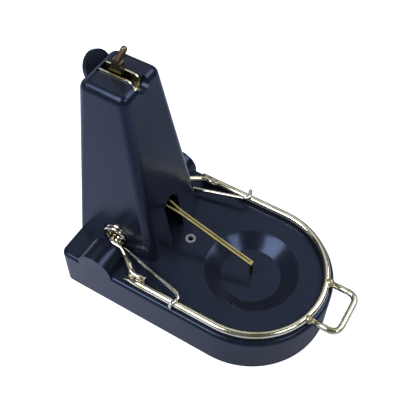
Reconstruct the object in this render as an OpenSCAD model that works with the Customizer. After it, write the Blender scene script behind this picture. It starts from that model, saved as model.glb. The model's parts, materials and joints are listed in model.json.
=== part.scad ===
// Snap trap on a moulded base: a sprung U-shaped jaw, a tower that holds it open,
// a catch at the top of the tower and a baited trigger lever over a round dish.
// Units are millimetres. The base stands on z = 0, the pull handle points to -Y,
// the tower stands at +Y and the plane x = 0 is the plane of symmetry.

/* [Base] */
// Width of the base across its straight sides
base_w = 76; // [72:1:80]
// Height of the base up to the deck
base_h = 22; // [20:1:24]
// Position of the straight rear wall
base_rear_y = 65.3; // [62:0.1:67]
// Centre of the round front end
arc_y = -16.2; // [-18:0.1:-15]
// Thickness of the moulded walls and deck
wall = 2.2; // [1.8:0.1:2.6]
// Rounding of the top edge
edge_r = 2; // [1:0.25:2]
// Radius of the bait dish at the deck
dish_r = 21.8; // [20:0.2:22]
// Radius of the flat floor of the bait dish
dish_floor_r = 14; // [12:0.5:15]
// Depth of the bait dish
dish_depth = 5; // [4:0.5:6]
// Position of the hole that fixes the trap down
fixing_y = 16.6; // [15:0.2:18]
// Radius of that hole
fixing_r = 1.2; // [1:0.1:1.6]

/* [Tower] */
// Height of the top of the tower above the floor
tower_h = 111.7; // [110:0.1:113]
// Width of the tower at the deck
foot_w = 42.4; // [41:0.2:43]
// Front of the tower at the deck
foot_front_y = 23.5; // [22.6:0.1:24.6]
// Width of the tower at its top
top_w = 25.9; // [25:0.1:26.6]
// Front of the tower at its top
top_front_y = 37.3; // [36.8:0.1:38]
// Rear of the tower at its top
top_rear_y = 61; // [60.4:0.1:61.6]
// Thickness of the tower walls
tower_wall = 2; // [1.6:0.1:2.4]
// Width of the trigger slot
slot_w = 10.4; // [9:0.2:11]
// Top of the trigger slot
slot_top_z = 47.5; // [46.5:0.5:50]
// Radius of the upright rounded guard behind the catch
guard_r = 7.2; // [6.6:0.1:7.6]
// Slope of that guard, from level
guard_slope = 65; // [60:1:72]

/* [Jaw] */
// Radius of the jaw's round front, to the middle of the rod
jaw_r = 34.4; // [34:0.1:34.6]
// Radius of the jaw rod
jaw_rod_r = 1.7; // [1.4:0.1:1.8]
// Height of the middle of the jaw rod, when shut
jaw_z = 24.2; // [24:0.1:24.6]
// Rear end of each side of the jaw rod
jaw_end_y = 30.3; // [29:0.1:31]
// Radius of the pivot arm wire
wire_r = 1.25; // [1.1:0.05:1.3]
// Radius of the pull handle wire
handle_r = 1.4; // [1.2:0.05:1.5]
// Pivot axis of the jaw along Y
pivot_y = 44.8; // [44.4:0.1:45.2]
// Pivot axis of the jaw above the floor
pivot_z = 29.5; // [29:0.25:30]
// Half width of the pull handle, to the middle of the wire
handle_half_w = 10.8; // [10:0.2:12]
// Front of the pull handle, to the middle of the wire
handle_y = -63.95; // [-65:0.05:-63]

/* [Springs] */
// Radius of the spring wire
spring_wire_r = 0.9; // [0.8:0.05:1]
// Mean radius of the spring coil
coil_r = 5.1; // [4.9:0.1:5.2]
// Turns in each spring
coil_turns = 4; // [3:1:4]
// Where the spring's leg crosses the jaw
hook_y = 4; // [2:0.2:7]

/* [Catch and trigger] */
// Radius of the catch pin
catch_r = 1.3; // [1.2:0.1:1.5]
// Length of the catch pin above the neck of the latch lever
catch_l = 9; // [8:0.25:9.5]
// Forward lean of the catch pin when the trap is sprung
catch_lean = 26; // [24:1:28]
// Width of the trigger strip
trigger_w = 2.4; // [2.2:0.1:2.8]
// Downward slope of the trigger strip
trigger_slope = 18.6; // [18:0.2:19]

/* [Hidden] */
$fn = 48;
half_w = base_w / 2;
base_corner_r = 4;
bead_r = 0.65;
bead_step = 0.75;
rib_half_t = 0.8;
rib_foot_z = 8;
pad_h = 4;
boss_y = 45.3;
boss_r = 9;
boss_inner_x = 26.2;
arm_x = 24.6;
pocket_r = 6.6;
pocket_wall = 1.6;
pocket_floor_x = 13;
bush_r = 2.4;
bush_end_x = 17;
run_gap = 0.05;
pin_inner_x = 9;
coil_outer_x = 22.9;
coil_pitch = 2 * spring_wire_r + 0.06;
rib_t = 2;
rib_depth = 16;
tower_roof_z = 100;
head_r = 4.3;
guard_y = 60.4;
guard_z = 109.4;
guard_t = 2;
groove_w = 5.8;
groove_floor_z = 104.5;
groove_front_y = 40.6;
groove_end_y = 58.2;
notch_r = 4.2;
notch_z = 111.5;
trough_r = 1.6;
trough_half_w = 15;
trough_step = 2.8;
trough_lift = 0.8;
window_w = 4.4;
window_front = 4;
window_rear = 3.4;
bracket_w = 5.4;
bracket_t = 0.7;
bracket_front_y = 40.9;
bracket_rear_y = 56.8;
bracket_top_z = 112.3;
bracket_nose_r = 3;
rivet_y = 43.3;
catch_y = 50.8;
catch_z = 107.5;
catch_axle_r = 1;
hub_r = 2.6;
hub_half_w = 1.4;
neck_half_w = 1.4;
neck_l = 11;
neck_lean = 10;
neck_foot = 2.9;
neck_top = 1.7;
lever_half_t = 1;
tail_w = 2.8;
set_tilt = 11;
set_raise = 9;
trigger_y = 31.8;
trigger_z = 42.75;
trigger_axle_r = 1;
trigger_t = 1;
fork_l = 11;
ear_x = 2;
ear_t = 0.7;
eye_r = 2.2;
sear_y = 4.4;
sear_r = 0.6;
trigger_l = 50.6;
spike_l = 8.6;
screw_r = 1.5;
screw_x = 13.5;
screw_front_y = 30.3;
screw_rear_y = 59.8;
rib_x = 18.5;
post_r = 3.4;
post_h = 12;
tiny = 0.01;
bend_swell = 0.04;
weld_side = 40;
bend_lap = 0.25;

plastic = [0.16, 0.18, 0.24];
zinc = [0.80, 0.78, 0.62];
golden = [0.76, 0.68, 0.36];
bronze = [0.55, 0.45, 0.30];
steel = [0.70, 0.71, 0.72];

// ---------- helpers ----------

// A straight round wire from point a to point b.
module rod(a, b, r) {
    d = b - a;
    turn = atan2(d[1], d[0]);
    tilt = acos(d[2] / norm(d));
    translate(a) rotate([0, tilt, turn]) cylinder(h = norm(d), r = r);
}

// Distance from a corner to the start of its bend; half is half the angle between the legs.
function bend_reach(a, b, c, radius) =
    radius / tan(acos((a - b) * (c - b) / (norm(a - b) * norm(c - b))) / 2);

// A round bend that turns the wire at b, on its way from a to c.
module bend(a, b, c, radius, r) {
    u = (a - b) / norm(a - b);
    v = (c - b) / norm(c - b);
    half = acos(u * v) / 2;
    middle = b + (u + v) / norm(u + v) * radius / sin(half);
    out = (b + u * radius / tan(half) - middle) / radius;
    axis = cross(out, -u);
    multmatrix([
        [out.x, -u.x, axis.x, middle.x],
        [out.y, -u.y, axis.y, middle.y],
        [out.z, -u.z, axis.z, middle.z]
    ]) rotate_extrude(angle = 180 - 2 * half) translate([radius, 0]) circle(r = r);
}

// A wire through a list of points, with a round, slightly swollen bend at every inner one.
module wire(points, radius, r) {
    last = len(points) - 1;
    cut = [for (i = [0 : last])
        i == 0 || i == last ? 0 : bend_reach(points[i - 1], points[i], points[i + 1], radius) - bend_lap];
    for (i = [0 : last - 1]) {
        run = (points[i + 1] - points[i]) / norm(points[i + 1] - points[i]);
        rod(points[i] + run * cut[i], points[i + 1] - run * cut[i + 1], r);
    }
    for (i = [1 : last - 1]) bend(points[i - 1], points[i], points[i + 1], radius, r + bend_swell);
}

// A round bar along X from x0 to x1.
module x_bar(x0, x1, r, y, z) {
    translate([x0, y, z]) rotate([0, 90, 0]) cylinder(h = x1 - x0, r = r);
}

// Both sides of a piece that is drawn on the left.
module both_sides() {
    children();
    mirror([1, 0, 0]) children();
}

// Plan of the base, moved inwards by inset.
module base_plan(inset) {
    r = half_w - inset;
    translate([0, arc_y]) circle(r = r, $fn = 128);
    translate([-r, arc_y]) square([2 * r, base_rear_y - inset - arc_y]);
}

// Half outline of a disc of radius r with a rounded upper rim.
module rim_profile(r) {
    square([r, base_h - edge_r]);
    square([r - edge_r, base_h]);
    translate([r - edge_r, base_h - edge_r]) circle(r = edge_r);
}

// Section of a straight wall run, w wide with both upper edges rounded.
module run_profile(w) {
    intersection() {
        union() {
            rim_profile(w / 2);
            mirror([1, 0]) rim_profile(w / 2);
        }
        translate([-w / 2, 0]) square([w, base_h]);
    }
}

// ---------- base ----------

// The base as a solid block with rounded edges.
module base_block() {
    c = base_corner_r;
    translate([0, arc_y, 0]) rotate_extrude($fn = 128) intersection() {
        rim_profile(half_w);
        square([half_w, base_h]);
    }
    translate([0, base_rear_y - c, 0]) rotate([90, 0, 0])
        linear_extrude(base_rear_y - c - arc_y) run_profile(base_w);
    both_sides() translate([c - half_w, base_rear_y - c, 0]) rotate_extrude()
        intersection() {
            rim_profile(c);
            square([c, base_h]);
        }
    translate([c - half_w, base_rear_y - c, 0]) rotate([90, 0, 90])
        linear_extrude(base_w - 2 * c) intersection() {
            rim_profile(c);
            square([c, base_h]);
        }
}

// The hump beside each pivot, flush with the side wall.
module boss(side) {
    x0 = side < 0 ? -half_w : boss_inner_x;
    x_bar(x0, x0 + half_w - boss_inner_x, boss_r, boss_y, base_h);
}

module base_housing() {
    deck_z = base_h - wall;
    dish_z = base_h - dish_depth;
    color(plastic) difference() {
        union() {
            difference() {
                union() {
                    base_block();
                    boss(-1);
                    boss(1);
                }
                translate([0, 0, -tiny]) linear_extrude(deck_z) base_plan(wall);
            }
            // bowl of the bait dish
            translate([0, arc_y, dish_z - wall]) cylinder(h = dish_depth, r = dish_r + 1);
            // round bead about the fixing hole
            translate([0, fixing_y, base_h]) rotate_extrude()
                translate([fixing_r + bead_step, 0]) circle(r = bead_r);
            // stiffening ribs under the deck
            for (x = [-rib_x, rib_x]) translate([x - rib_half_t, 8, rib_foot_z])
                cube([2 * rib_half_t, base_rear_y - 9, deck_z - rib_foot_z + 0.1]);
            for (y = [10, 42]) translate([1 - half_w, y - rib_half_t, rib_foot_z])
                cube([base_w - 2, 2 * rib_half_t, deck_z - rib_foot_z + 0.1]);
            // pads that the tower screws pull against
            for (x = [-screw_x, screw_x], y = [screw_front_y, screw_rear_y])
                translate([x, y, deck_z - pad_h]) cylinder(h = pad_h + tiny, r = post_r);
        }
        // hollow of the bait dish
        translate([0, arc_y, dish_z]) rotate_extrude($fn = 96) polygon([
            [0, 0], [dish_floor_r, 0], [dish_r - 1.5, dish_depth - 0.8],
            [dish_r, dish_depth], [dish_r, dish_depth + 1], [0, dish_depth + 1]
        ]);
        translate([0, fixing_y, 0]) cylinder(h = base_h + 2, r = fixing_r);
        for (x = [-screw_x, screw_x], y = [screw_front_y, screw_rear_y])
            translate([x, y, 0]) cylinder(h = base_h + 1, r = screw_r + 0.1);
    }
}

// ---------- tower ----------

// Straight line from foot to top, as a function of height.
function along(foot, top, z) = foot + (top - foot) * (z - base_h) / (tower_h - base_h);

// Sharp-edged tower outline, moved inwards by inset, from z0 to z1.
module tower_core(inset, z0, z1) {
    half = function (z) along(foot_w, top_w, z) / 2 - inset;
    front = function (z) along(foot_front_y, top_front_y, z) + inset;
    rear = function (z) along(base_rear_y, top_rear_y, z) - inset;
    intersection() {
        translate([0, base_rear_y + 5, 0]) rotate([90, 0, 0]) linear_extrude(60)
            polygon([[-half(z0), z0], [half(z0), z0], [half(z1), z1], [-half(z1), z1]]);
        translate([-base_w / 2, 0, 0]) rotate([90, 0, 90]) linear_extrude(base_w)
            polygon([[front(z0), z0], [rear(z0), z0], [rear(z1), z1], [front(z1), z1]]);
    }
}

// Outside of the tower, with its upright edges and its top rounded.
module tower_outside(front_r, rear_r) {
    z1 = tower_h - head_r;
    hull() for (s = [-1, 1]) {
        for (foot = [[foot_front_y + front_r, front_r], [base_rear_y - rear_r, rear_r]])
            translate([s * (foot_w / 2 - foot[1]), foot[0], base_h])
                cylinder(h = tiny, r = foot[1], $fn = 32);
        for (y = [top_front_y + head_r, top_rear_y - head_r])
            translate([s * (top_w / 2 - head_r), y, z1]) sphere(r = head_r, $fn = 32);
    }
}

// Side socket for a spring: a cup that opens outwards around the pivot axis.
module socket() {
    x_bar(-20.5, -pocket_floor_x, pocket_r + pocket_wall, pivot_y, pivot_z);
}

module tower_shell() {
    color(plastic) difference() {
        union() {
            difference() {
                tower_outside(4, 1.2);
                tower_core(tower_wall, base_h - 1, tower_roof_z);
            }
            // moulded details, kept within the outline of the tower
            intersection() {
                tower_core(tower_wall / 2, base_h, tower_roof_z + 1);
                union() {
                    both_sides() socket();
                    // ribs beside the trigger slot
                    for (s = [-1, 1]) translate([s * (slot_w + rib_t) / 2 - rib_t / 2,
                            foot_front_y, base_h])
                        cube([rib_t, rib_depth, slot_top_z - base_h + 6]);
                    translate([-slot_w / 2 - rib_t, foot_front_y, slot_top_z + 2])
                        cube([slot_w + 2 * rib_t, rib_depth - 2, 4]);
                    // posts for the screws
                    for (x = [-screw_x, screw_x], y = [screw_front_y, screw_rear_y])
                        translate([x, y, base_h]) cylinder(h = post_h, r = post_r);
                }
            }
            // upright guard behind the catch
            translate([0, guard_y, guard_z]) rotate([guard_slope, 0, 0])
                cylinder(h = guard_t, r = guard_r);
        }
        // trough between the guard and the rest of the top
        x_bar(-trough_half_w, trough_half_w, trough_r, guard_y - trough_step, tower_h + trough_lift);
        // groove for the latch bracket, the round notch before it and the window below it
        translate([-groove_w / 2, groove_front_y, groove_floor_z])
            cube([groove_w, groove_end_y - groove_front_y, tower_h]);
        translate([0, groove_front_y + 0.1, notch_z]) rotate([90, 0, 0]) cylinder(h = 15, r = notch_r);
        translate([-window_w / 2, catch_y - window_front, tower_roof_z - 3])
            cube([window_w, window_front + window_rear, 10]);
        // hole for the bracket's rivet
        translate([0, rivet_y, groove_floor_z - 4]) cylinder(h = 6, r = 1.02);
        // trigger slot
        translate([-slot_w / 2, foot_front_y - 5, base_h - 1])
            cube([slot_w, rib_depth, slot_top_z - base_h - 2]);
        translate([0, foot_front_y - 5, slot_top_z - 4]) rotate([-90, 0, 0])
            cylinder(h = rib_depth, r = 4);
        // trigger axle
        x_bar(-9, 9, trigger_axle_r + 0.02, trigger_y, trigger_z);
        // spring pockets and the seats of the bushes
        both_sides() {
            x_bar(-26, -pocket_floor_x - 2, pocket_r, pivot_y, pivot_z);
            x_bar(-26, -pocket_floor_x + 1, bush_r + 0.02, pivot_y, pivot_z);
        }
        for (x = [-screw_x, screw_x], y = [screw_front_y, screw_rear_y])
            translate([x, y, base_h - 1]) cylinder(h = 10, r = screw_r);
    }
}

// Four equal screws, driven up through the deck into the posts of the tower.
module tower_screws() {
    deck_z = base_h - wall;
    color(steel) for (x = [-screw_x, screw_x], y = [screw_front_y, screw_rear_y])
        translate([x, y, deck_z - pad_h]) difference() {
            union() {
                translate([0, 0, -1]) cylinder(h = 13, r = screw_r - 0.02);
                translate([0, 0, -2]) cylinder(h = 1.98, r = 2.8);
            }
            for (a = [0, 90]) rotate(a) translate([-1.6, -0.35, -2.1]) cube([3.2, 0.7, 1.2]);
        }
}

// Bush in the floor of a spring pocket; the jaw's pin turns in it.
module pivot_bush() {
    difference() {
        union() {
            x_bar(-bush_end_x - 2, -pocket_floor_x + 1, bush_r, pivot_y, pivot_z);
            x_bar(-pocket_floor_x + 0.02, -pocket_floor_x + 1.2, bush_r + 1.4, pivot_y, pivot_z);
        }
        x_bar(-bush_end_x - 3, -pocket_floor_x + 2, wire_r + run_gap, pivot_y, pivot_z);
    }
}

module left_pivot_bush() {
    color(plastic) pivot_bush();
}

module right_pivot_bush() {
    color(plastic) mirror([1, 0, 0]) pivot_bush();
}

// ---------- catch ----------

// Channel that lines the groove; the front ends of its sides are rounded.
module latch_bracket() {
    y0 = bracket_front_y;
    y1 = bracket_rear_y;
    floor_z = groove_floor_z + 0.02;
    nose_r = bracket_nose_r;
    color(zinc) difference() {
        union() {
            for (s = [-1, 1]) translate([s * (bracket_w - bracket_t) / 2 - bracket_t / 2, 0, 0])
                rotate([90, 0, 90]) linear_extrude(bracket_t) union() {
                    translate([y0 + nose_r, floor_z]) square([y1 - y0 - nose_r, bracket_top_z - floor_z]);
                    translate([y0 + nose_r, bracket_top_z - nose_r]) circle(r = nose_r);
                    translate([y0, floor_z]) square([nose_r, bracket_top_z - nose_r - floor_z]);
                }
            translate([-bracket_w / 2, y0, floor_z]) cube([bracket_w, y1 - y0, bracket_t]);
        }
        translate([-2, catch_y - 3.8, floor_z - 1]) cube([4, 7, 3]);
        x_bar(-4, 4, catch_axle_r + 0.02, catch_y, catch_z);
        translate([0, rivet_y, floor_z - 1]) cylinder(h = 3, r = 1.02);
    }
}

module bracket_rivet() {
    color(steel) translate([0, rivet_y, 0]) {
        translate([0, 0, groove_floor_z - 3.8]) cylinder(h = 4, r = 1);
        translate([0, 0, groove_floor_z + bracket_t + 0.04]) cylinder(h = 0.7, r = 1.5);
        translate([0, 0, groove_floor_z]) cylinder(h = bracket_t + 0.1, r = 1);
    }
}

module latch_pivot_pin() {
    color(steel) x_bar(-bracket_w / 2, bracket_w / 2, catch_axle_r, catch_y, catch_z);
}

// Lever under the catch pin. It is drawn as it is held when the trap is set, with a hook
// round the sear bar of the raised trigger, and then turned to where it rests when sprung.
module latch_lever() {
    raised = trigger_slope - set_raise;
    bar_y = trigger_y + sear_y * cos(raised) - catch_y;
    bar_z = trigger_z + sear_y * sin(raised) - catch_z;
    tail_front = bar_y + sear_r + 0.45;
    lip_rear = bar_y - sear_r - 0.25;
    shelf_z = bar_z - sear_r - 0.4;
    lean = atan((tail_front + tail_w / 2) / bar_z);
    seat = neck_top * tan(catch_lean - neck_lean);
    color(bronze) difference() {
        union() {
            x_bar(-hub_half_w, hub_half_w, hub_r, catch_y, catch_z);
            translate([-neck_half_w, catch_y, catch_z]) rotate([neck_lean, 0, 0])
                rotate([90, 0, 90]) linear_extrude(2 * neck_half_w)
                    polygon([
                        [-2.5, 0], [2.5, 0], [neck_foot, 5], [neck_top, neck_l + seat],
                        [-neck_top, neck_l - seat], [-neck_foot, 5]
                    ]);
            translate([-lever_half_t, catch_y, catch_z]) rotate([set_tilt, 0, 0]) {
                rotate([-lean, 0, 0]) translate([0, -tail_w / 2, bar_z / cos(lean)])
                    cube([2 * lever_half_t, tail_w, -bar_z / cos(lean)]);
                translate([0, tail_front, shelf_z - 1]) cube([2 * lever_half_t, tail_w, sear_r + 2]);
                translate([0, lip_rear - 1, shelf_z - 1]) cube([2 * lever_half_t, tail_front - lip_rear + 2, 1]);
                translate([0, lip_rear - 1, shelf_z - 1]) cube([2 * lever_half_t, 1, 1.8]);
            }
        }
        x_bar(-3, 3, catch_axle_r + run_gap, catch_y, catch_z);
    }
}

// Round pin with a domed tip that stands on the neck and holds the jaw open.
module catch_pin() {
    color(bronze) translate([0, catch_y, catch_z]) rotate([neck_lean, 0, 0])
        translate([0, 0, neck_l]) rotate([catch_lean - neck_lean, 0, 0]) {
            translate([0, 0, 0.02]) cylinder(h = catch_l - catch_r - 0.02, r = catch_r);
            translate([0, 0, catch_l - catch_r]) sphere(r = catch_r);
        }
}

// ---------- trigger ----------

module trigger_pivot_pin() {
    color(steel) x_bar(-8.9, 8.9, trigger_axle_r, trigger_y, trigger_z);
}

// Pressed lever: a grooved strip out to the dish that forks to two eyes on the axle,
// a bent spike at its tip and a sear bar behind the axle.
module trigger_lever() {
    half = trigger_w / 2;
    inner = ear_x - ear_t;
    color(golden) difference() {
        union() {
            translate([0, trigger_y, trigger_z]) rotate([trigger_slope, 0, 0]) {
                translate([0, 0, -trigger_t / 2]) linear_extrude(trigger_t) difference() {
                    polygon([
                        [-half, -trigger_l], [half, -trigger_l], [half, -fork_l], [ear_x, -3],
                        [ear_x, 0], [-ear_x, 0], [-ear_x, -3], [-half, -fork_l]
                    ]);
                    polygon([[0, 1 - fork_l], [inner, -3], [inner, 1], [-inner, 1], [-inner, -3]]);
                }
                both_sides() {
                    x_bar(-ear_x, -inner, eye_r, 0, 0);
                    translate([-ear_x, 0, -0.8]) cube([ear_t, sear_y, 1.6]);
                    x_bar(-ear_x, -inner, 0.8, sear_y, 0);
                }
                x_bar(-ear_x, ear_x, sear_r, sear_y, 0);
            }
            translate([0, trigger_y, trigger_z]) rotate([trigger_slope, 0, 0])
                translate([0, 0.6 - trigger_l, 0]) rotate([-trigger_slope - 4, 0, 0])
                    translate([-0.7, -0.5, -spike_l]) cube([1.4, 1, spike_l + 0.3]);
        }
        // groove along the top of the strip
        translate([0, trigger_y, trigger_z]) rotate([trigger_slope, 0, 0])
            translate([-0.4, 1.6 - trigger_l, 0]) cube([0.8, trigger_l, 2]);
        x_bar(-5, 5, trigger_axle_r + run_gap, trigger_y, trigger_z);
    }
}

// ---------- jaw ----------

module jaw_bar() {
    color(zinc) {
        translate([0, arc_y, jaw_z]) rotate(180) rotate_extrude(angle = 180, $fn = 128)
            translate([jaw_r, 0]) circle(r = jaw_rod_r);
        both_sides() rod([-jaw_r, arc_y, jaw_z], [-jaw_r, jaw_end_y, jaw_z], jaw_rod_r);
    }
}

// Cranked arm from the weld on the jaw to its pin in the tower.
module pivot_arm() {
    lie = jaw_rod_r + wire_r + 0.03;
    weld_x = -jaw_r + lie * cos(weld_side);
    weld_z = jaw_z + lie * sin(weld_side);
    wire([
        [-pin_inner_x, pivot_y, pivot_z], [-arm_x, pivot_y, pivot_z],
        [-arm_x, 38.8, 28.7], [-26.4, 35.4, 27.7],
        [weld_x + 0.9, 29.3, weld_z + 0.2], [weld_x, 27, weld_z], [weld_x, 21.3, weld_z]
    ], 1.8, wire_r);
}

module left_pivot_arm() {
    color(zinc) pivot_arm();
}

module right_pivot_arm() {
    color(zinc) mirror([1, 0, 0]) pivot_arm();
}

// Beads that join each arm to the jaw.
module arm_welds() {
    color(zinc) both_sides() for (y = [27.8, 22.3])
        translate([-jaw_r + 1.3, y, jaw_z + 1.1]) sphere(r = 1.5);
}

// Push-on washers that keep the pins in the tower.
module pivot_retainers() {
    color(steel) both_sides() difference() {
        x_bar(-pocket_floor_x + 1.6, -pocket_floor_x + 2.2, 3.6, pivot_y, pivot_z);
        x_bar(-pocket_floor_x + 1, -pocket_floor_x + 3, wire_r, pivot_y, pivot_z);
    }
}

// D-shaped finger loop in front of the jaw.
module pull_handle() {
    x = handle_half_w;
    root_y = arc_y - sqrt(pow(jaw_r, 2) - pow(x, 2)) - jaw_rod_r + 0.4;
    color(zinc) wire([
        [-x, root_y, jaw_z], [-x, handle_y, jaw_z], [x, handle_y, jaw_z], [x, root_y, jaw_z]
    ], 4.5, handle_r);
}

module handle_welds() {
    x = handle_half_w;
    y = arc_y - sqrt(pow(jaw_r, 2) - pow(x, 2)) - 1.6;
    color(zinc) both_sides() translate([-x, y, jaw_z + 0.3]) sphere(r = 2.1);
}

// ---------- springs ----------

// Coil around the pin, with a leg that hooks over the jaw.
module jaw_spring() {
    first_x = -coil_outer_x + spring_wire_r;
    top_z = jaw_z + jaw_rod_r + spring_wire_r + 0.05;
    out_x = -jaw_r - jaw_rod_r - spring_wire_r - 0.1;
    // the outer turn opens into the leg, the others are closed
    for (i = [0 : coil_turns - 1]) translate([first_x + i * coil_pitch, pivot_y, pivot_z])
        rotate([0, 90, 0]) rotate_extrude(angle = i == 0 ? 300 : 360)
            translate([coil_r, 0]) circle(r = spring_wire_r, $fn = 24);
    // the step from turn to turn
    x_bar(first_x, first_x + (coil_turns - 1) * coil_pitch + 0.6, spring_wire_r - 0.15,
        pivot_y + coil_r, pivot_z);
    wire([
        [first_x, pivot_y, pivot_z - coil_r], [first_x, pivot_y - 5, pivot_z - coil_r],
        [3.6 - jaw_r, hook_y + 1, top_z + 0.2], [1.6 - jaw_r, hook_y - 1, top_z],
        [out_x, hook_y + 0.6, top_z], [out_x, hook_y + 0.6, jaw_z - 0.8]
    ], 1.2, spring_wire_r);
}

module left_spring() {
    color(steel) jaw_spring();
}

module right_spring() {
    color(steel) mirror([1, 0, 0]) jaw_spring();
}

// ---------- assembly ----------

base_housing();
tower_shell();
tower_screws();
left_pivot_bush();
right_pivot_bush();
latch_bracket();
bracket_rivet();
latch_pivot_pin();
trigger_pivot_pin();
jaw_bar();
left_pivot_arm();
right_pivot_arm();
arm_welds();
pull_handle();
handle_welds();
left_spring();
right_spring();
pivot_retainers();
latch_lever();
catch_pin();
trigger_lever();
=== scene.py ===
"""Looks of the tower snap trap: camera, studio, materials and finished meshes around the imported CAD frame."""

import json
import math

import bpy
from mathutils import Matrix, Vector


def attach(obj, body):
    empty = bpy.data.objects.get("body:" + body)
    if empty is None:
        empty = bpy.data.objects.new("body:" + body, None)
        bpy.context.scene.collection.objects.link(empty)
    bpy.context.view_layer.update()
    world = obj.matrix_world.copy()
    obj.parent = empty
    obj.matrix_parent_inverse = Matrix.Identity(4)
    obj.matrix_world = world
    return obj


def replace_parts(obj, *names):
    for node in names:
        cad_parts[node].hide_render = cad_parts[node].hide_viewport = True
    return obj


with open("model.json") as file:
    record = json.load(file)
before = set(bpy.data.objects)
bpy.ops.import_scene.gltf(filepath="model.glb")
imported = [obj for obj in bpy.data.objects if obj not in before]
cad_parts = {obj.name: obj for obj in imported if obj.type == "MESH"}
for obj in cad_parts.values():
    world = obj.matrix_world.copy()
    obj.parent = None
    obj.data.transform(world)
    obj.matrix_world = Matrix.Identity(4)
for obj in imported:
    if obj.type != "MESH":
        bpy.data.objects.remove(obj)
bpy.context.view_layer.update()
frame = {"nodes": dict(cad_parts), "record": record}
MM = 0.001

# ---------- dimensions shared with the CAD model, in millimetres ----------
ARC_Y = -16.2
JAW_R = 34.4
JAW_ROD_R = 1.7
JAW_Z = 24.2
JAW_END_Y = 30.3
WIRE_R = 1.25
HANDLE_R = 1.4
PIVOT_Y = 44.8
PIVOT_Z = 29.5
SPRING_R = 0.9
COIL_R = 5.1
FIXING_Y = 16.6
FIXING_R = 1.2


# ---------- camera ----------
def add_camera():
    """Puts the camera where the photograph was taken from."""
    azimuth, elevation, roll = (math.radians(v) for v in (-59.9, 52.88, 1.0))
    distance, lens = 0.30572, 63.26
    target = Vector((0, 0.01183, 0.05569))
    back = Vector((
        math.sin(azimuth) * math.cos(elevation),
        -math.cos(azimuth) * math.cos(elevation),
        math.sin(elevation),
    ))
    right = Vector((math.cos(azimuth), math.sin(azimuth), 0))
    up = back.cross(right)
    right, up = (
        right * math.cos(roll) + up * math.sin(roll),
        up * math.cos(roll) - right * math.sin(roll),
    )
    cam = bpy.data.objects.new("camera", bpy.data.cameras.new("camera"))
    bpy.context.scene.collection.objects.link(cam)
    turn = Matrix((right, up, back)).transposed().to_4x4()
    cam.matrix_world = Matrix.Translation(target + back * distance) @ turn
    cam.data.sensor_width = 36
    cam.data.lens = lens
    cam.data.clip_start, cam.data.clip_end = 0.01, 20
    bpy.context.scene.camera = cam


add_camera()


# ---------- studio ----------
def add_area(name, location, size, power, aim=(0, 0, 0.04), mirrored_in_gloss=True):
    data = bpy.data.lights.new(name, "AREA")
    data.shape, data.size, data.energy = "SQUARE", size, power
    lamp = bpy.data.objects.new(name, data)
    bpy.context.scene.collection.objects.link(lamp)
    lamp.location = location
    lamp.rotation_euler = (Vector(aim) - Vector(location)).to_track_quat("-Z", "Y").to_euler()
    lamp.visible_glossy = mirrored_in_gloss


def paper(name, glow):
    """Cool paper with a painted shade band just in front of the base, standing in for the base's contact shadow
    that the wires mirror; glow lifts it to white where the camera sees it.
    """
    m = bpy.data.materials.new(name)
    m.use_nodes = True
    tree, shader = m.node_tree, m.node_tree.nodes["Principled BSDF"]
    place = tree.nodes.new("ShaderNodeSeparateXYZ")
    tree.links.new(tree.nodes.new("ShaderNodeTexCoord").outputs["Object"], place.inputs[0])
    depth = tree.nodes.new("ShaderNodeMapRange")
    depth.inputs["From Min"].default_value, depth.inputs["From Max"].default_value = -0.25, 0.06
    tree.links.new(place.outputs["Y"], depth.inputs["Value"])
    # Painted shade: this ramp darkens the paper to 0.38 in a band just before the base front, standing in for
    # its contact shadow.
    shade = tree.nodes.new("ShaderNodeValToRGB")
    shade.color_ramp.elements.new(0.6)
    for stop, place, value in zip(shade.color_ramp.elements, (0.35, 0.6, 1.0), (0.98, 0.38, 0.98)):
        stop.position = place
        stop.color = (0.72 * value, 0.79 * value, value, 1)
    tree.links.new(depth.outputs["Result"], shade.inputs["Fac"])
    tree.links.new(shade.outputs["Color"], shader.inputs["Base Color"])
    shader.inputs["Roughness"].default_value = 0.9
    shader.inputs["Emission Color"].default_value = (1, 1, 1, 1)
    shader.inputs["Emission Strength"].default_value = 0.0
    if glow:
        seen = tree.nodes.new("ShaderNodeLightPath")
        level = tree.nodes.new("ShaderNodeMath")
        level.operation = "MULTIPLY"
        level.inputs[1].default_value = glow
        tree.links.new(seen.outputs["Is Camera Ray"], level.inputs[0])
        tree.links.new(level.outputs[0], shader.inputs["Emission Strength"])
    return m


def add_floor():
    """A sheet of paper; the part of it under the trap stays in shadow."""
    xs, ys = (-3.0, -0.030, 0.030, 3.0), (-3.0, -0.034, 0.060, 3.0)
    verts = [(x, y, 0) for y in ys for x in xs]
    faces = [(4 * j + i, 4 * j + i + 1, 4 * j + i + 5, 4 * j + i + 4) for j in range(3) for i in range(3)]
    mesh = bpy.data.meshes.new("floor")
    mesh.from_pydata(verts, [], faces)
    mesh.materials.append(paper("floor_paper", 0.85))
    mesh.materials.append(paper("shaded_paper", 0.0))
    mesh.polygons[4].material_index = 1
    floor = bpy.data.objects.new("floor", mesh)
    bpy.context.scene.collection.objects.link(floor)
    floor.location.z = -0.0002


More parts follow.
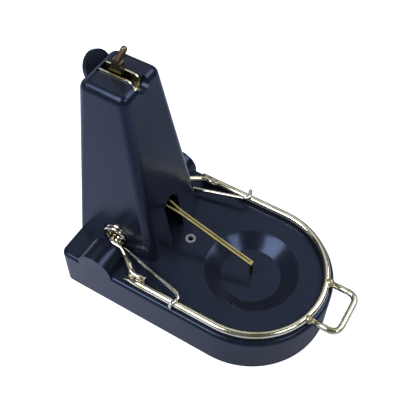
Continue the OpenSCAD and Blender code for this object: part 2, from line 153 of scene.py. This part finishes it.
def add_studio():
    """Pale floor, dim surround, one wide lamp and soft boxes that the gloss mirrors."""
    world = bpy.data.worlds.new("studio")
    world.use_nodes = True
    world.node_tree.nodes["Background"].inputs["Color"].default_value = (1, 1, 1, 1)
    seen = world.node_tree.nodes.new("ShaderNodeLightPath")
    level = world.node_tree.nodes.new("ShaderNodeMapRange")
    level.inputs["To Min"].default_value, level.inputs["To Max"].default_value = 0.10, 1.0
    world.node_tree.links.new(seen.outputs["Is Camera Ray"], level.inputs["Value"])
    world.node_tree.links.new(level.outputs["Result"], world.node_tree.nodes["Background"].inputs["Strength"])
    bpy.context.scene.world = world
    add_floor()
    add_area("overhead", (-0.35, 0.35, 1.2), 1.4, 5.5, mirrored_in_gloss=False)
    add_area("back_panel", (0.57, 0.36, 0.9), 0.9, 1.3)
    add_area("left_box", (-0.55, 0.32, 0.8), 0.5, 6)
    add_area("right_box", (0.50, -0.40, 0.8), 0.5, 3.6)
    add_area("front_box", (-0.10, -0.62, 0.8), 0.25, 1.4)
    bpy.context.scene.view_settings.view_transform = "Standard"


add_studio()


# ---------- material helpers ----------
class Nodes:
    """Small builder for procedural materials."""

    def __init__(self, name):
        self.material = bpy.data.materials.new(name)
        self.material.use_nodes = True
        self.tree = self.material.node_tree
        self.shader = self.tree.nodes["Principled BSDF"]
        self.coords = self.tree.nodes.new("ShaderNodeTexCoord").outputs["Object"]

    def link(self, a, b):
        self.tree.links.new(a, b)

    def scaled(self, stretch):
        """Object coordinates multiplied along each axis."""
        node = self.tree.nodes.new("ShaderNodeMapping")
        node.inputs["Scale"].default_value = stretch
        self.link(self.coords, node.inputs["Vector"])
        return node.outputs["Vector"]

    def noise(self, scale, detail=4, rough=0.55, stretch=None):
        node = self.tree.nodes.new("ShaderNodeTexNoise")
        node.inputs["Scale"].default_value = scale
        node.inputs["Detail"].default_value = detail
        node.inputs["Roughness"].default_value = rough
        self.link(self.scaled(stretch) if stretch else self.coords, node.inputs["Vector"])
        return node.outputs["Fac"]

    def ramp(self, source, stops):
        """Colour ramp; stops are (position, colour or grey value)."""
        node = self.tree.nodes.new("ShaderNodeValToRGB")
        elements = node.color_ramp.elements
        while len(elements) < len(stops):
            elements.new(0.5)
        for element, (place, value) in zip(elements, stops):
            element.position = place
            grey = isinstance(value, (int, float))
            element.color = (value, value, value, 1) if grey else (*value, 1)
        self.link(source, node.inputs["Fac"])
        return node.outputs["Color"]

    def mix(self, factor, a, b, blend="MIX"):
        node = self.tree.nodes.new("ShaderNodeMix")
        node.data_type, node.blend_type = "RGBA", blend
        colours = [s for s in node.inputs if s.type == "RGBA"]
        for socket, value in zip([node.inputs["Factor"], *colours], (factor, a, b)):
            if isinstance(value, bpy.types.NodeSocket):
                self.link(value, socket)
            else:
                socket.default_value = value if isinstance(value, (int, float)) else (*value, 1)
        return [s for s in node.outputs if s.type == "RGBA"][0]

    def from_axis(self, x, y, reach):
        """Distance from an upright line, from 0 on the line to 1 at reach; all in millimetres."""
        shift = self.tree.nodes.new("ShaderNodeMapping")
        shift.inputs["Location"].default_value = (-x / reach, -y / reach, 0)
        shift.inputs["Scale"].default_value = (1 / (reach * MM), 1 / (reach * MM), 0)
        length = self.tree.nodes.new("ShaderNodeVectorMath")
        length.operation = "LENGTH"
        self.link(self.coords, shift.inputs["Vector"])
        self.link(shift.outputs["Vector"], length.inputs[0])
        return length.outputs["Value"]

    def bump(self, height, strength, distance, below=None):
        node = self.tree.nodes.new("ShaderNodeBump")
        node.inputs["Strength"].default_value = strength
        node.inputs["Distance"].default_value = distance
        self.link(height, node.inputs["Height"])
        if below:
            self.link(below, node.inputs["Normal"])
        return node.outputs["Normal"]

    def finish(self, colour, roughness, normal, metallic=0.0, **constants):
        self.link(colour, self.shader.inputs["Base Color"])
        self.link(roughness, self.shader.inputs["Roughness"])
        self.link(normal, self.shader.inputs["Normal"])
        self.shader.inputs["Metallic"].default_value = metallic
        for name, value in constants.items():
            self.shader.inputs[name.replace("_", " ")].default_value = value
        return self.material


# ---------- materials ----------
def plastic(name, dark, light, base_roughness, pale_ring=False):
    """Glossy moulded plastic: faint flow marks, orange peel, scuffs; optionally a pale fixing hole bead."""
    n = Nodes(name)
    flow = n.noise(26, 3, 0.5, (1, 1, 0.45))
    body = n.ramp(flow, [(0.3, dark), (0.7, light)])
    dust = n.ramp(n.noise(900, 2, 0.6), [(0.66, 0.0), (0.74, 1.0)])
    body = n.mix(n.mix(0.04, (0, 0, 0), dust), body, (0.25, 0.25, 0.27))
    if pale_ring:
        far = n.from_axis(0, FIXING_Y, 4 * FIXING_R)
        ring = n.ramp(far, [(0.24, 0.0), (0.29, 1.0), (0.50, 1.0), (0.56, 0.0)])
        body = n.mix(ring, body, (0.26, 0.27, 0.30))
    scuff = n.ramp(n.noise(60, 8, 0.75, (1, 5, 1)), [(0.52, 0.0), (0.75, 1.0)])
    rough = n.mix(scuff, (base_roughness,) * 3, (base_roughness + 0.16,) * 3)
    peel = n.bump(n.noise(650, 2, 0.5), 0.10, 0.0001)
    normal = n.bump(n.noise(45, 2, 0.5), 0.12, 0.0006, peel)
    return n.finish(body, rough, normal, 0.0, IOR=1.5, Specular_IOR_Level=0.45,
                    Specular_Tint=(0.42, 0.56, 1.0, 1.0))


def plated(name, bright, olive, pink, roughness, grain=(1, 1, 1)):
    """Zinc plate with a yellow passivated skin whose tint drifts; its reflection is darkened towards grazing
    angles, a painted shade on the wire edges.
    """
    n = Nodes(name)
    drift = n.noise(120, 3, 0.6, grain)
    tint = n.ramp(drift, [(0.34, olive), (0.48, bright), (0.60, bright), (0.72, pink)])
    stain = n.ramp(n.noise(420, 5, 0.65), [(0.55, 0.0), (0.70, 1.0)])
    tint = n.mix(n.mix(0.30, (0, 0, 0), stain), tint, tuple(0.45 * c for c in olive))
    smear = n.noise(700, 4, 0.6, grain)
    rough = n.ramp(smear, [(0.3, roughness - 0.04), (0.7, roughness + 0.06)])
    lines = n.bump(n.noise(900, 2, 0.5, grain), 0.10, 0.00006)
    # Specular_Tint darkens the reflection at grazing angles: painted shade standing in for dark surroundings
    # mirrored at the metal edges.
    return n.finish(tint, rough, lines, 1.0, Specular_Tint=(0.16, 0.14, 0.09, 1.0))


def weld_metal(name):
    """Plated weld bead: duller, browner and lumpy."""
    n = Nodes(name)
    tint = n.ramp(n.noise(500, 4, 0.7), [(0.35, (0.20, 0.15, 0.08)), (0.6, (0.62, 0.55, 0.36))])
    rough = n.ramp(n.noise(900, 3, 0.6), [(0.3, 0.28), (0.7, 0.5)])
    normal = n.bump(n.noise(700, 3, 0.6), 0.7, 0.0003)
    return n.finish(tint, rough, normal, 0.9)


MATERIALS = {
    "base_plastic": plastic("base_plastic", (0.007, 0.0095, 0.016), (0.0095, 0.013, 0.0215), 0.20, True),
    "tower_plastic": plastic("tower_plastic", (0.007, 0.0095, 0.016), (0.0095, 0.013, 0.0215), 0.22),
    "bush_plastic": plastic("bush_plastic", (0.006, 0.006, 0.007), (0.012, 0.012, 0.013), 0.45),
    "jaw_zinc": plated("jaw_zinc", (0.94, 0.89, 0.72), (0.66, 0.63, 0.38), (0.82, 0.70, 0.56), 0.12),
    "spring_steel": plated("spring_steel", (0.95, 0.93, 0.84), (0.74, 0.73, 0.56), (0.86, 0.80, 0.74), 0.12),
    "bracket_zinc": plated("bracket_zinc", (0.82, 0.80, 0.60), (0.52, 0.52, 0.28), (0.72, 0.62, 0.52), 0.20),
    "trigger_gold": plated("trigger_gold", (0.115, 0.10, 0.045), (0.055, 0.05, 0.02),
                           (0.09, 0.07, 0.035), 0.28, (1, 0.15, 1)),
    "catch_bronze": plated("catch_bronze", (0.26, 0.19, 0.10), (0.19, 0.15, 0.07), (0.24, 0.15, 0.09), 0.40),
    "latch_dark": plated("latch_dark", (0.10, 0.08, 0.055), (0.07, 0.06, 0.035), (0.09, 0.065, 0.045), 0.34),
    "screw_steel": plated("screw_steel", (0.62, 0.62, 0.60), (0.50, 0.50, 0.46), (0.58, 0.56, 0.54), 0.26),
    "weld_zinc": weld_metal("weld_zinc"),
}


# ---------- mesh helpers ----------
def add_mesh(name, verts, faces, body, slot):
    """Makes an object from millimetre vertices and rides it on a body."""
    mesh = bpy.data.meshes.new(name)
    mesh.from_pydata([Vector(v) * MM for v in verts], [], faces)
    mesh.update()
    mesh.materials.append(MATERIALS[slot])
    for p in mesh.polygons:
        p.use_smooth = True
    piece = bpy.data.objects.new(name, mesh)
    bpy.context.scene.collection.objects.link(piece)
    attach(piece, body)
    return piece


def rounded_path(points, radius, steps=10):
    """Replaces every corner of a polyline by an arc of about the given radius."""
    points = [Vector(p) for p in points]
    out = [points[0]]
    for before, corner, after in zip(points, points[1:], points[2:]):
        u, v = (before - corner), (after - corner)
        half = u.angle(v) / 2
        reach = min(radius / math.tan(half), 0.49 * u.length, 0.49 * v.length)
        start, end = corner + u.normalized() * reach, corner + v.normalized() * reach
        for i in range(steps + 1):
            t = i / steps
            out.append(start * (1 - t) ** 2 + corner * 2 * t * (1 - t) + end * t * t)
    out.append(points[-1])
    clean = [out[0]]
    for p in out[1:]:
        if (p - clean[-1]).length > 1e-4:
            clean.append(p)
    return clean


def sweep(name, path, radius, body, slot, sides=24, dome=0.35):
    """A round wire along a path; its ends are slightly domed."""
    path = [Vector(p) for p in path]
    tangents = [
        (path[min(i + 1, len(path) - 1)] - path[max(i - 1, 0)]).normalized() for i in range(len(path))
    ]
    side = tangents[0].orthogonal().normalized()
    rings = []
    for p, t in zip(path, tangents):
        side = (side - t * side.dot(t)).normalized()
        rings.append((p, side.copy(), t.cross(side), radius))

    def cap(ring, direction):
        p, a, b, r = ring
        return [(p + direction * (r * dome * math.sin(k)), a, b, r * math.cos(k))
                for k in (math.radians(25), math.radians(50), math.radians(72))]

    rings = cap(rings[0], -tangents[0])[::-1] + rings + cap(rings[-1], tangents[-1])
    verts = [
        p + (a * math.cos(2 * math.pi * k / sides) + b * math.sin(2 * math.pi * k / sides)) * r
        for p, a, b, r in rings for k in range(sides)
    ]
    faces = []
    for i in range(len(rings) - 1):
        for k in range(sides):
            nxt = (k + 1) % sides
            faces.append((i * sides + k, i * sides + nxt, (i + 1) * sides + nxt, (i + 1) * sides + k))
    faces.append(tuple(reversed(range(sides))))
    faces.append(tuple(range((len(rings) - 1) * sides, len(rings) * sides)))
    return add_mesh(name, verts, faces, body, slot)


def mirrored(path):
    return [Vector((-p[0], p[1], p[2])) for p in path]


def smooth_group():
    """Modifier nodes: shade smooth, keep edges over 20 degrees crisp and flat areas truly flat."""
    group = bpy.data.node_groups.new("smooth_by_angle", "GeometryNodeTree")
    group.interface.new_socket("Geometry", in_out="INPUT", socket_type="NodeSocketGeometry")
    group.interface.new_socket("Geometry", in_out="OUTPUT", socket_type="NodeSocketGeometry")
    source = group.nodes.new("NodeGroupInput")
    target = group.nodes.new("NodeGroupOutput")
    smooth = group.nodes.new("GeometryNodeSetShadeSmooth")
    crisp = group.nodes.new("GeometryNodeSetShadeSmooth")
    crisp.domain = "EDGE"
    crisp.inputs["Shade Smooth"].default_value = False
    angle = group.nodes.new("GeometryNodeInputMeshEdgeAngle")
    sharp = group.nodes.new("FunctionNodeCompare")
    sharp.operation = "GREATER_THAN"
    sharp.inputs["B"].default_value = math.radians(20)
    group.links.new(angle.outputs["Unsigned Angle"], sharp.inputs["A"])
    group.links.new(sharp.outputs["Result"], crisp.inputs["Selection"])
    level = group.nodes.new("FunctionNodeCompare")
    level.operation = "LESS_THAN"
    level.inputs["B"].default_value = math.radians(0.1)
    share = group.nodes.new("GeometryNodeFieldOnDomain")
    share.domain, share.data_type = "EDGE", "FLOAT"
    plane = group.nodes.new("FunctionNodeCompare")
    plane.operation = "GREATER_THAN"
    plane.inputs["B"].default_value = 0.55
    flat = group.nodes.new("GeometryNodeSetShadeSmooth")
    flat.inputs["Shade Smooth"].default_value = False
    group.links.new(angle.outputs["Unsigned Angle"], level.inputs["A"])
    group.links.new(level.outputs["Result"], share.inputs[0])
    group.links.new(share.outputs[0], plane.inputs["A"])
    group.links.new(plane.outputs["Result"], flat.inputs["Selection"])
    group.links.new(source.outputs[0], smooth.inputs["Geometry"])
    group.links.new(smooth.outputs[0], flat.inputs["Geometry"])
    group.links.new(flat.outputs[0], crisp.inputs["Geometry"])
    group.links.new(crisp.outputs[0], target.inputs[0])
    return group


SMOOTH = smooth_group()


def finish_cad(node, slot, bevel=0.12):
    """Keeps a CAD node, gives it its material and softens its edges."""
    piece = frame["nodes"][node]
    piece.data.materials.clear()
    piece.data.materials.append(MATERIALS[slot])
    weld = piece.modifiers.new("weld", "WELD")
    weld.merge_threshold = 1e-6
    soft = piece.modifiers.new("soft_edges", "BEVEL")
    soft.width, soft.segments = bevel * MM, 3
    soft.limit_method, soft.angle_limit = "ANGLE", math.radians(20)
    shade = piece.modifiers.new("shade", "NODES")
    shade.node_group = SMOOTH
    even = piece.modifiers.new("even_normals", "WEIGHTED_NORMAL")
    even.keep_sharp, even.weight = True, 95


# ---------- CAD nodes kept as they are ----------
BEVELS = {"base_housing": 0.45, "tower_shell": 0.35}
for part in frame["record"]["subparts"]:
    finish_cad(part["node"], part["material_slot"], BEVELS.get(part["node"], 0.12))


# ---------- wires ----------
def jaw_path():
    steps = 72
    path = [(-JAW_R, JAW_END_Y - 8 * k, JAW_Z) for k in range(6)]
    for i in range(steps + 1):
        a = math.pi + math.pi * i / steps
        path.append((JAW_R * math.cos(a), ARC_Y + JAW_R * math.sin(a), JAW_Z))
    return path + [(JAW_R, JAW_END_Y - 8 * k, JAW_Z) for k in reversed(range(6))]


jaw = sweep("jaw_rod", jaw_path(), JAW_ROD_R, "jaw", "jaw_zinc", sides=32, dome=0.0)
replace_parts(jaw, "jaw_bar")

WELD_REACH = JAW_ROD_R + WIRE_R + 0.03
WELD_SIDE = math.radians(40)
WELD_X = -JAW_R + WELD_REACH * math.cos(WELD_SIDE)
WELD_Z = JAW_Z + WELD_REACH * math.sin(WELD_SIDE)
ARM = rounded_path([
    (-9, PIVOT_Y, PIVOT_Z), (-24.6, PIVOT_Y, PIVOT_Z), (-24.6, 38.8, 28.7), (-26.4, 35.4, 27.7),
    (WELD_X + 0.9, 29.3, WELD_Z + 0.2), (WELD_X, 27, WELD_Z), (WELD_X, 21.3, WELD_Z),
], 2.2)
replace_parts(sweep("arm_left", ARM, WIRE_R, "jaw", "jaw_zinc"), "left_pivot_arm")
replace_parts(sweep("arm_right", mirrored(ARM), WIRE_R, "jaw", "jaw_zinc"), "right_pivot_arm")

HANDLE_X, HANDLE_Y = 10.8, -63.95
HANDLE_ROOT_Y = ARC_Y - math.sqrt(JAW_R ** 2 - HANDLE_X ** 2) - JAW_ROD_R + 0.4
HANDLE = rounded_path([
    (-HANDLE_X, HANDLE_ROOT_Y, JAW_Z), (-HANDLE_X, HANDLE_Y, JAW_Z),
    (HANDLE_X, HANDLE_Y, JAW_Z), (HANDLE_X, HANDLE_ROOT_Y, JAW_Z),
], 4.8, 16)
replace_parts(sweep("handle_loop", HANDLE, HANDLE_R, "jaw", "jaw_zinc", dome=0.0), "pull_handle")


def spring_path():
    """Helical coil that opens into the leg and its hook."""
    first_x, pitch, turns, steps = -22.0, 1.86, 4, 40
    coil = []
    for i in range((turns - 1) * steps + steps * 3 // 4, -1, -1):
        a = 2 * math.pi * i / steps
        x = min(first_x + pitch * i / steps, first_x + pitch * (turns - 1))
        coil.append((x, PIVOT_Y + COIL_R * math.sin(a), PIVOT_Z - COIL_R * math.cos(a)))
    hook_y, top_z = 4.0, JAW_Z + JAW_ROD_R + SPRING_R + 0.05
    out_x = -JAW_R - JAW_ROD_R - SPRING_R - 0.1
    leg = rounded_path([
        coil[-1], (first_x, PIVOT_Y - 5, PIVOT_Z - COIL_R),
        (3.6 - JAW_R, hook_y + 1, top_z + 0.2), (1.6 - JAW_R, hook_y - 1, top_z),
        (out_x, hook_y + 0.6, top_z), (out_x, hook_y + 0.6, JAW_Z - 0.8),
    ], 1.3)
    return coil[:-1] + leg


SPRING = spring_path()
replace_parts(sweep("spring_left", SPRING, SPRING_R, "jaw", "spring_steel", sides=20), "left_spring")
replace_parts(sweep("spring_right", mirrored(SPRING), SPRING_R, "jaw", "spring_steel", sides=20),
            "right_spring")
